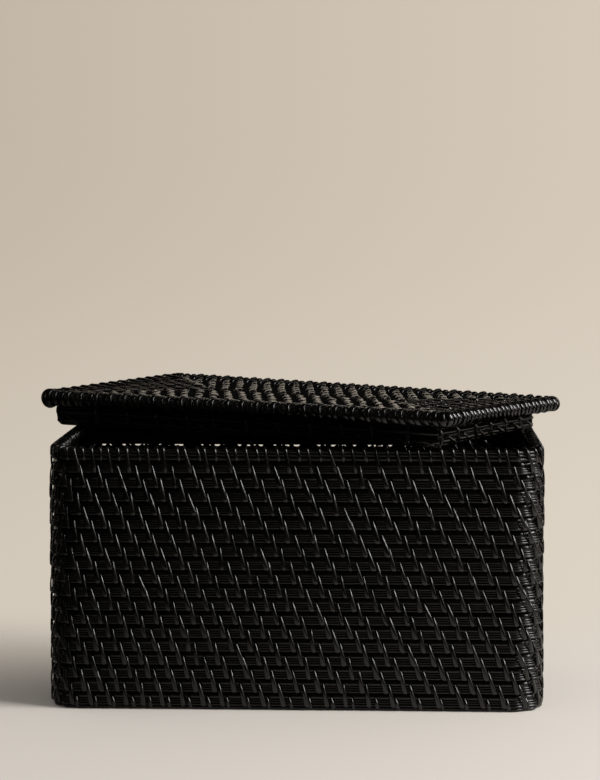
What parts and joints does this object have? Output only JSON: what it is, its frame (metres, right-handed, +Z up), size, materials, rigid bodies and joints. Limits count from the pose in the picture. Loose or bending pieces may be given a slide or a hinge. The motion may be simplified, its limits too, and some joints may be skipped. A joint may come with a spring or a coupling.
{
  "type": "woven lidded box",
  "caption": "Rectangular woven rattan box with a loose lift-off lid; the lid's collar drops inside the rim, and here it lies askew on top.",
  "frame": {"origin": "on the floor under the middle of the box's base", "axes": "+X along the box's long side, +Y from the front wall to the back wall, +Z up"},
  "size_m": [0.3928, 0.3274, 0.2139],
  "materials": {
    "rattan_rod": "black stained rattan rods under a satin lacquer",
    "rattan_peel": "black lacquered rattan peel, glossy along the crown of each strip"
  },
  "bodies": {
    "box": {"rim_hoop": "rattan_peel", "wall_hoop_01": "rattan_rod", "wall_hoop_02": "rattan_rod", "wall_hoop_03": "rattan_rod", "wall_hoop_04": "rattan_rod", "wall_hoop_05": "rattan_rod", "wall_hoop_06": "rattan_rod", "wall_hoop_07": "rattan_rod", "wall_hoop_08": "rattan_rod", "wall_hoop_09": "rattan_rod", "wall_hoop_10": "rattan_rod", "wall_hoop_11": "rattan_rod", "wall_hoop_12": "rattan_rod", "wall_hoop_13": "rattan_rod", "wall_hoop_14": "rattan_rod", "wall_hoop_15": "rattan_rod", "wall_hoop_16": "rattan_rod", "wall_hoop_17": "rattan_rod", "wall_hoop_18": "rattan_rod", "base_hoop_1": "rattan_rod", "base_hoop_2": "rattan_rod", "base_hoop_3": "rattan_rod", "base_hoop_4": "rattan_rod", "base_hoop_5": "rattan_rod", "base_hoop_6": "rattan_rod", "base_hoop_7": "rattan_rod", "base_hoop_8": "rattan_rod", "base_hoop_9": "rattan_rod", "base_core": "rattan_rod"},
    "lid": {"lid_border_hoop": "rattan_peel", "lid_hoop_1": "rattan_rod", "lid_hoop_2": "rattan_rod", "lid_hoop_3": "rattan_rod", "lid_hoop_4": "rattan_rod", "lid_hoop_5": "rattan_rod", "lid_hoop_6": "rattan_rod", "lid_hoop_7": "rattan_rod", "lid_hoop_8": "rattan_rod", "lid_hoop_9": "rattan_rod", "lid_core": "rattan_rod", "lid_collar_upper": "rattan_rod", "lid_collar_lower": "rattan_rod"}
  },
  "joints": [
    {"name": "lid_lift", "type": "slide", "parent": "box", "child": "lid", "axis": [0, 0, 1], "range_m": [0, 0.25]}
  ]
}
